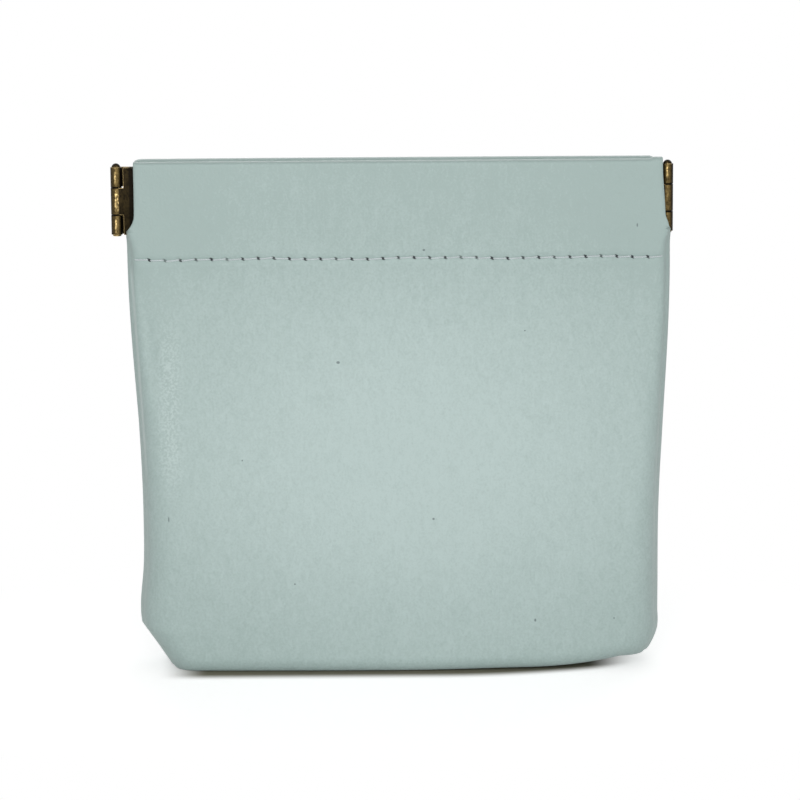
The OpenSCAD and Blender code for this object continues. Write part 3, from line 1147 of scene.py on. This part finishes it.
@dataclass
class Pouch:
    """Leather walls and base with their lining and thread."""

    shape: PouchShape
    line: StitchLine
    bench: Bench
    columns: int = 221
    lift: float = 1.66
    lift_from: float = 24.0
    lift_run: float = 15.6
    lift_height: float = 16.0
    rock: float = 0.4
    right_swell: float = 0.5
    corner_swell: float = 3.5
    left_swell: float = 0.36
    left_flare: float = 0.8
    mouth_slant: float = 0.5
    rear_rise: float = 0.25
    corner_rise: float = 0.3
    seam_band: float = 1.6
    fold_lip: float = 0.12
    slack: float = 0.55

    def settle(self, grid: np.ndarray) -> np.ndarray:
        """Gives the pouch the uneven set of the real one.

        Its right side is a little fuller, the right bottom corner is rounder and lifts off the table,
        the left one stands out a little, and the right end of the casing spreads towards its foot.

        Args:
            grid: Points in millimetres, in the row frame.

        Returns:
            The moved points.
        """
        grid = grid.copy()
        z = grid[..., 2].copy()
        right = np.clip(grid[..., 0] / 45, 0, 1) ** 3
        swell = self.right_swell * np.clip((76 - z) / 36, 0, 1)
        swell += self.corner_swell * np.clip(1 - (np.abs(z) / 8) ** 1.5, 0, 1)
        left = np.clip(-grid[..., 0] / 43, 0, 1) ** 3
        flare = self.left_flare * bell(z - 10.5, 6.0) + self.left_swell * np.clip((45 - z) / 20, 0, 1)
        grid[..., 0] += swell * right - flare * left
        end = ease((grid[..., 0] - 40) / 7)
        grid[..., 0] += self.mouth_slant * end * (1 - ease((z - 81) / 10)) * ease((z - 78.8) / 1.8)
        run = np.clip((grid[..., 0] - self.lift_from) / self.lift_run, 0, 1.05)
        fade = 1 - ease(z / self.lift_height)
        grid[..., 2] += (self.lift * run ** 2 + self.rock * ease(grid[..., 0] / 30)) * fade
        return grid

    def to_side(self, grid: np.ndarray, side: Side) -> np.ndarray:
        """Moves a grid drawn for the front about x = 0 to its place in the purse.

        Args:
            grid: Points in millimetres.
            side: Side of the pouch.

        Returns:
            The moved points.
        """
        z = grid[..., 2]
        placed = grid * np.array([1.0, -side.value, 1.0]) + np.array([self.shape.centre_x, 0, 0])
        along = placed[..., 0] / self.shape.casing_half
        if side is Side.REAR:
            droop = 0.2 * along ** 2 + 2.2 * ease((-along - 0.95) / 0.05) + 1.5 * ease((along - 0.98) / 0.02)
            placed[..., 2] += self.rear_rise * ease((z - 79) / 11) * (1 - droop)
        else:
            placed[..., 2] += self.corner_rise * ease((z - 84) / 7) * ease((np.abs(along) - 0.972) / 0.02)
        return self.settle(placed)

    def wall_grids(self, side: Side) -> tuple[np.ndarray, np.ndarray]:
        """Outer and inner face of a leather wall, from the crease up and over the mouth edge.

        Args:
            side: Side of the pouch.

        Returns:
            The outer face and the inner face.
        """
        s, band = self.shape, self.seam_band
        levels = spread(s.crease_z, 0.7, 12, 0.95, s.stitch_z - band, 0.2, s.stitch_z + band, 0.7,
                        78.6, 0.15, s.notch_z + 0.2, 0.9, s.fold_z)
        outer, inner = [], []
        for z in levels:
            reach = s.reach(float(z)) if z > s.notch_z - s.notch_h else None
            for rows, inset in ((outer, 0.0), (inner, s.skin)):
                rows.append(s.section(float(z), inset, self.columns, reach))
        face, back = outer[-1], inner[-1]
        for turn in np.linspace(0, math.pi, 19)[1:]:
            over = math.copysign(abs(math.cos(turn)) ** (2 / s.fold_square), math.cos(turn))
            up = max(0.0, math.sin(turn)) ** (2 / s.fold_square)
            for rows, base, flank, rise in ((outer, face, s.middle_gap, s.fold_rise),
                                            (inner, back, s.middle_gap + s.cloth, s.fold_rise - 0.55)):
                y = base[:, 1] + (-base[:, 1] - flank) / 2 * (1 - over)
                rows.append(np.column_stack([base[:, 0], y, np.full(self.columns, s.fold_z + rise * up)]))
        for rows in (outer, inner):
            rows.append(rows[-1] - np.array([0, 0, self.fold_lip]))
        outer = np.array(outer)
        return outer + outward(outer) * self.relief(outer, side, len(levels))[..., None], np.array(inner)

    def relief(self, grid: np.ndarray, side: Side, face_rows: int) -> np.ndarray:
        """Height of the folds, pulls and puckers over a wall's outer face.

        Args:
            grid: The outer face.
            side: The wall's side.
            face_rows: Number of rows below the fold over the mouth edge.

        Returns:
            One height a point.
        """
        s, line = self.shape, self.line
        x, z = grid[..., 0], grid[..., 2]
        height = np.zeros(x.shape)
        facing = np.clip(-outward(grid)[..., 1], 0, 1) ** 2
        calm = ease((s.half_width(np.clip(z, 0, 90)) - np.abs(x)) / 6)
        body = ease((line.height - 1.0 - z) / 10) * ease((z - s.crease_z) / 10)
        seed = 3.7 if side is Side.FRONT else 11.2
        height += 0.30 * ripple(x, z, (26, 34), seed) * body * calm
        height += 0.10 * ripple(x, z, (7, 11), seed + 5) * body * calm
        if side is Side.FRONT:
            height += 0.34 * bell(x + 39.6 + 0.02 * (z - 48), 3.2) * ease((z - 22) / 16) * ease((70 - z) / 14)
            fold = -46.6 + (73.0 - z) * 0.14
            height -= 0.26 * bell(x - fold, 1.3) * ease((z - 44) / 14) * ease((73.5 - z) / 3)
            tremble = bell(x + 40, 4.0) * ease((z - 25) / 10) * ease((66 - z) / 10)
            height += 0.10 * ripple(x, z, (2.2, 5.0), 21.0) * tremble
        away = z - line.level(x)
        hole = bell(((x / line.pitch + line.hole_phase) % 1 - 0.5) * line.pitch, 0.75)
        height -= (0.09 + 0.16 * hole) * bell(away, 0.5)
        height += 0.05 * (1 - hole) * (bell(away - 1.1, 0.7) + bell(away + 1.1, 0.7))
        casing = ease((z - line.height - 1.2) / 2) * ease((s.fold_z - z) / 3)
        height += casing * (0.06 * ripple(x, z, (14, 9), seed + 9) + 0.03 * ripple(x, z, (4, 5), seed + 2))
        height[face_rows:] *= 0.2
        return height * facing

    def wall(self, side: Side) -> bpy.types.Object:
        """Leather wall of one side.

        Args:
            side: Side of the pouch.

        Returns:
            The piece.
        """
        outer, inner = (self.to_side(grid, side) for grid in self.wall_grids(side))
        piece = shell(f"{side.label}_wall_leather", outer, inner)
        return self.bench.fit(piece, "leather", f"{side.label}_leather", side)

    def tray_grid(self, inset: float, columns: int) -> np.ndarray:
        """One face of the turned-up bottom, from the front crease under to the rear crease.

        Args:
            inset: How far inside the outer face the skin lies.
            columns: Number of points in a row.

        Returns:
            The face's points.
        """
        s = self.shape
        curve = [s.base_r - (s.base_r - inset) * math.sin(a) for a in np.linspace(0, math.pi / 2, 11)]
        rows = [s.section(float(z), inset, columns) for z in [s.crease_z, s.base_r + 0.02] + curve[1:]]
        under = [rows[-1] * np.array([1, part, 1]) for part in np.linspace(1, -1, 19)[1:-1]]
        mirrored = [row * np.array([1, -1, 1]) for row in reversed(rows)]
        return self.settle(np.array(rows + under + mirrored) + np.array([s.centre_x, 0, 0]))

    def base(self) -> bpy.types.Object:
        """Leather base.

        Returns:
            The piece.
        """
        grids = (self.tray_grid(inset, self.columns) for inset in (0.0, self.shape.skin))
        piece = shell("base_panel_leather", *grids, 0.04)
        return self.bench.fit(piece, "leather", "base_leather", "pouch")

    def base_lining(self) -> bpy.types.Object:
        """Lining of the base.

        Returns:
            The piece.
        """
        s = self.shape
        outer, inner = (self.tray_grid(inset, 121) for inset in (s.cloth_in, s.cloth_in + s.cloth))
        piece = shell("base_panel_lining", outer, inner, 0.04)
        self.bench.fit(piece, "lining", "base_lining", "pouch")
        return self.declared(piece)

    def lining_wall(self, side: Side) -> bpy.types.Object:
        """Lining of one wall, a little slack between the base and the facing.

        Args:
            side: Side of the pouch.

        Returns:
            The piece.
        """
        s = self.shape
        levels = spread(s.crease_z + 0.4, 1.2, 12, 1.6, s.stitch_z - 0.8)
        grids = [np.array([s.section(float(z), inset, 141) for z in levels])
                 for inset in (s.cloth_in, s.cloth_in + s.cloth)]
        x, z = grids[1][..., 0], grids[1][..., 2]
        slack = 0.5 + 0.5 * ripple(x, z, (9, 22), 31.0 if side is Side.FRONT else 37.0)
        slack *= self.slack * ease((z - 5) / 10) * ease((s.stitch_z - 2 - z) / 10)
        slack *= ease((42 - np.abs(x)) / 6)
        outer, inner = (self.to_side(grid + slack[..., None] * np.array([0, 1, 0]), side) for grid in grids)
        piece = shell(f"{side.label}_wall_lining", outer, inner, 0.05)
        self.bench.fit(piece, "lining", f"{side.label}_lining", side)
        return self.declared(piece)

    def declared(self, piece: bpy.types.Object) -> bpy.types.Object:
        """Returns a lining as it is.

        Args:
            piece: The lining.

        Returns:
            The same piece.
        """
        return piece

    def facing(self, side: Side) -> bpy.types.Object:
        """Inner side of a casing: the leather's hem, which steps out to the stitching.

        Args:
            side: Side of the pouch.

        Returns:
            The piece.
        """
        s, columns, end = self.shape, 161, 0.7
        z = spread(s.fold_z - self.fold_lip, 0.9, 79.0, 0.3, s.stitch_z - s.hem)
        step = 1.22 * ease((78.1 - z) / 2.7)
        x = np.linspace(end - s.casing_half, s.casing_half - end, columns)
        outer, inner = (self.to_side(np.stack([
            np.tile(x, (len(z), 1)), np.tile(-(s.middle_gap + thick + step)[:, None], (1, columns)),
            np.tile(z[:, None], (1, columns))], axis=2), side) for thick in (s.cloth, 0.0))
        piece = shell(f"{side.label}_casing_facing", outer, inner, 0.08)
        return self.bench.fit(piece, "leather", f"{side.label}_facing", side)

    def top_stitches(self, tree: StitchTree, side: Side) -> bpy.types.Object:
        """Row of top stitching of one side.

        Args:
            tree: Lays the row.
            side: Side of the pouch.

        Returns:
            The piece.
        """
        line = self.line
        half = (line.count - 1) / 2 * line.pitch
        x = np.linspace(-half, half, 160)
        path = np.column_stack([x, np.full(x.shape, -line.face - 0.02), line.level(x)])
        place = Matrix.Translation((self.shape.centre_x * MM, 0, 0)) @ Matrix.Diagonal((1, -side.value, 1, 1))
        piece = tree.row(f"{side.label}_top_stitching", path, line.count, place)
        return self.bench.fit(piece, "thread", f"{side.label}_topstitch", side)

    def side_stitches(self, tree: StitchTree, end: End) -> bpy.types.Object:
        """Stitches in the valley of one side seam.

        Args:
            tree: Lays the row.
            end: End of the mouth.

        Returns:
            The piece.
        """
        low, high = (corner.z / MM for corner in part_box(f"{end.label}_side_thread"))
        z = np.linspace(low + 1.0, high - 1.0, 60)
        count = int((z[-1] - z[0]) / self.line.pitch) + 1
        path = np.column_stack([z, 0.1 - self.shape.half_width(z), np.zeros(z.shape)])
        upright = Matrix(((0, -end.value, 0, self.shape.centre_x * MM), (0, 0, 1, 0), (1, 0, 0, 0),
                          (0, 0, 0, 1)))
        piece = tree.row(f"{end.label}_side_stitching", path, count, upright)
        settled = self.settle(points_of(piece)) * MM
        piece.data.vertices.foreach_set("co", settled.astype(np.float32).ravel())
        piece.data.update()
        return self.bench.fit(piece, "thread", f"{end.label}_side_thread", "pouch")

    def build(self) -> list[bpy.types.Object]:
        """Builds every piece of the pouch.

        Returns:
            The pieces.
        """
        made = [self.base(), self.base_lining()]
        for side in Side:
            made += [self.wall(side), self.lining_wall(side), self.facing(side)]
        thread = self.bench.materials["thread"]
        tree = StitchTree(thread)
        made += [self.top_stitches(tree, side) for side in Side]
        tree = StitchTree(thread, length=2.1, thickness=0.2, rise=0.05, dive=0.25, slant=0.0,
                          wobble=0.02, seed=19)
        return made + [self.side_stitches(tree, end) for end in End]


# Flex frame


@dataclass
class FlexFrame:
    """Spring strips, hinge plates, rivets and pins."""

    bench: Bench
    bevel: float = 0.14
    strip_t: float = 0.3
    strip_corner: float = 1.6

    def strip(self, side: Side) -> bpy.types.Object:
        """Dished spring strip of one side.

        Args:
            side: Side of the pouch.

        Returns:
            The piece.
        """
        low, high = (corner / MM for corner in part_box(f"{side.label}_spring"))
        near, far = sorted((abs(low.y), abs(high.y)))
        dish = far - near - self.strip_t
        x = np.linspace(low.x, high.x, 181)
        over = np.clip((np.abs(x) - (high.x - self.strip_corner)) / self.strip_corner, 0, 1)
        tall, middle = (high.z - low.z) / 2, (high.z + low.z) / 2
        half = tall - self.strip_corner * (1 - np.sqrt(1 - over ** 2))
        grids = []
        for depth in (near + self.strip_t, near):
            rows = []
            for part in np.linspace(-1, 1, 15):
                sag = dish * (1 - (half * part / tall) ** 2)
                rows.append(np.column_stack([x, side.value * (depth + sag), middle + half * part]))
            grids.append(np.array(rows))
        piece = shell(f"{side.label}_spring_strip", *grids, 0.05)
        return self.bench.fit(piece, "spring_steel", f"{side.label}_spring", side)

    def brass(self, node: str, name: str, body: str) -> bpy.types.Object:
        """Copy of a brass solid with broken edges and a measure of its wear.

        Args:
            node: The solid.
            name: Name of the copy.
            body: The body that it rides on.

        Returns:
            The copy.
        """
        mesh = frame["nodes"][node].data.copy()
        mesh.name = name
        mesh.materials.clear()
        for _ in range(2):
            mesh.materials.append(self.bench.materials["antique_brass"])
        piece = in_scene(name, mesh)
        made = bmesh.new()
        made.from_mesh(mesh)
        bmesh.ops.remove_doubles(made, verts=made.verts, dist=0.002 * MM)
        bmesh.ops.dissolve_limit(made, angle_limit=math.radians(1.0), verts=made.verts, edges=made.edges)
        made.to_mesh(mesh)
        made.free()
        modifier = piece.modifiers.new("broken_edges", "BEVEL")
        modifier.width, modifier.segments, modifier.material = self.bevel * MM, 2, 1
        modifier.limit_method, modifier.angle_limit = "ANGLE", math.radians(35)
        modifier.use_clamp_overlap = True
        self.mark_wear(bake(piece, modifier))
        return self.bench.fit(piece, "antique_brass", node, body)

    def mark_wear(self, mesh: bpy.types.Mesh) -> None:
        """Marks the broken edges, which the bevel gave the second material, as bright wear.

        Args:
            mesh: The mesh with its broken edges.
        """
        wear = [float(face.material_index) for face in mesh.polygons for _ in face.loop_indices]
        mesh.attributes.new("wear", "FLOAT", "CORNER").data.foreach_set("value", wear)
        mesh.polygons.foreach_set("material_index", [0] * len(mesh.polygons))
        mesh.shade_smooth()
        mesh.set_sharp_from_angle(angle=math.radians(50))

    def build(self) -> list[bpy.types.Object]:
        """Builds every piece of the frame.

        Returns:
            The pieces.
        """
        made = [self.strip(side) for side in Side]
        for end in End:
            for side in Side:
                solid = f"{side.label}_{end.label}"
                made.append(self.brass(f"{solid}_plate", f"{solid}_hinge_plate",
                                       f"{end.label}_hinge_{side.label}"))
                self.bench.cover(f"{solid}_rivets", "antique_brass")
            made.append(self.brass(f"{end.label}_pin", f"{end.label}_hinge_pin", f"{end.label}_hinge_rear"))
        return made


# Studio


@dataclass
class Studio:
    """Floor, lights and the camera at the photograph's angle."""

    painted_contact_shadow: Colour = srgb(128, 124, 108)
    matt: Colour = (0.82, 0.82, 0.82, 1.0)
    scale: float = 0.1789
    mouth_row: float = 160.1
    middle_column: float = 393.4
    size: float = 800.0
    elevation: float = 10.0
    roll: float = 0.4
    distance: float = 650.0
    mouth_y: float = -2.7
    sensor: float = 36.0
    floor_half: float = 3.0
    floor_lift: float = 0.52
    ambient: float = 0.37

    def floor(self) -> None:
        """Pale floor that keeps the purse's shadow, with a painted shadow along the purse's bottom edge."""
        paint = Paint.start("studio_floor")
        seen = paint.seen("Camera", "Glossy")
        x, y, _ = paint.split(paint.place())
        away = (x / 95.0) ** 2.0 + (y / 60.0) ** 2.0
        # Painted shadow: the floor is darkened along the purse's bottom edge, further back under the raised
        # right corner, and gets no lift there.
        inside = paint.step(abs(x - 0.5), 43.5, 34.0)
        raised = paint.math("MAXIMUM", (x - 8.0) / 29.0, 0.0) ** 2.0 * 5.5
        under = paint.step(abs(y) + raised, 14.2, 9.6) * inside
        tone = paint.blend(under * seen, self.matt, self.painted_contact_shadow)
        matt = paint.out("ShaderNodeBsdfDiffuse", {"Color": tone})
        lift = paint.out("ShaderNodeEmission", {
            "Color": WHITE, "Strength": seen * (1 - under) * self.floor_lift})
        near = paint.out("ShaderNodeAddShader", {0: matt, 1: lift})
        white = paint.out("ShaderNodeEmission", {"Color": WHITE, "Strength": 1.0})
        shown = paint.out("ShaderNodeMixShader", {0: seen * paint.step(away, 0.4, 1.6), 1: near, 2: white})
        paint.node("ShaderNodeOutputMaterial", {"Surface": shown})
        mesh, half = bpy.data.meshes.new("studio_floor"), self.floor_half
        mesh.from_pydata([(-half, -half, 0), (half, -half, 0), (half, half, 0), (-half, half, 0)],
                         [], [(0, 1, 2, 3)])
        floor = in_scene("studio_floor", mesh)
        mesh.materials.append(paint.material)

    def world(self) -> None:
        """White surroundings to the camera and in the metal, and an even soft light elsewhere."""
        world = bpy.data.worlds.new("studio")
        bpy.context.scene.world = world
        world.use_nodes = True
        world.node_tree.nodes.clear()
        board = NodeBoard(world.node_tree)
        strength = self.ambient + board.seen("Camera", "Glossy", "Transmission") * (1 - self.ambient)
        back = board.out("ShaderNodeBackground", {"Color": WHITE, "Strength": strength})
        board.node("ShaderNodeOutputWorld", {"Surface": back})

    def lamp(self, name: str, place: tuple[float, float, float], size: float, power: float) -> None:
        """Soft square lamp in metres and watts, aimed at the middle of the purse.

        Args:
            name: Name of the lamp.
            place: Where it stands, in metres.
            size: Length of its side in metres.
            power: Power in watts.
        """
        light = bpy.data.lights.new(name, "AREA")
        light.shape, light.size, light.energy = "SQUARE", size, power
        lamp = in_scene(name, light)
        lamp.location = place
        aim = Vector((0.0, 0.0, 0.045)) - Vector(place)
        lamp.rotation_euler = aim.to_track_quat("-Z", "Y").to_euler()

    def camera(self) -> None:
        """Camera whose middle lies where the photograph's middle shows on the purse."""
        data = bpy.data.cameras.new("camera")
        camera = in_scene("camera", data)
        middle = self.size / 2
        aim = Vector(((middle - self.middle_column) * self.scale, self.mouth_y,
                      CAD_BOX[1].z / MM - (middle - self.mouth_row) * self.scale))
        tilt = math.radians(self.elevation)
        back = Vector((0, -math.cos(tilt), math.sin(tilt)))
        camera.location = (aim + back * self.distance) * MM
        turn = (-back).to_track_quat("-Z", "Y") @ Quaternion((0, 0, 1), -math.radians(self.roll))
        camera.rotation_euler = turn.to_euler()
        data.sensor_width = self.sensor
        data.lens = self.sensor * self.distance / (self.size * self.scale)
        data.clip_start, data.clip_end = 0.01, 20.0
        bpy.context.scene.camera = camera

    def build(self) -> None:
        """Sets everything up round the purse."""
        bpy.context.scene.view_settings.view_transform = "Standard"
        self.floor()
        self.world()
        self.lamp("key", (-0.05, -0.52, 0.20), 0.32, 1.35)
        self.lamp("fill", (0.75, -0.60, 0.30), 0.7, 0.9)
        self.lamp("back", (0.10, 0.85, 0.60), 0.9, 3.0)
        self.camera()


def main() -> None:
    """Builds the purse and its studio, and reports each piece."""
    logging.basicConfig(level=logging.INFO, format="%(message)s")
    shape = PouchShape.from_frame()
    line = StitchLine.from_frame(shape)
    motion = MouthMotion.from_frame(shape)
    bench = Bench(motion, {
        "leather": LeatherFinish(shape, line).build(),
        "lining": LiningFinish().build(),
        "antique_brass": BrassFinish(motion.pin_x).build(),
        "spring_steel": SteelFinish().build(),
        "thread": ThreadFinish().build(),
    })
    made = Pouch(shape, line, bench).build() + FlexFrame(bench).build()
    Studio().build()
    for piece in made:
        LOG.info("%s: %d faces", piece.name, len(piece.data.polygons))


if __name__ == "__main__":
    main()
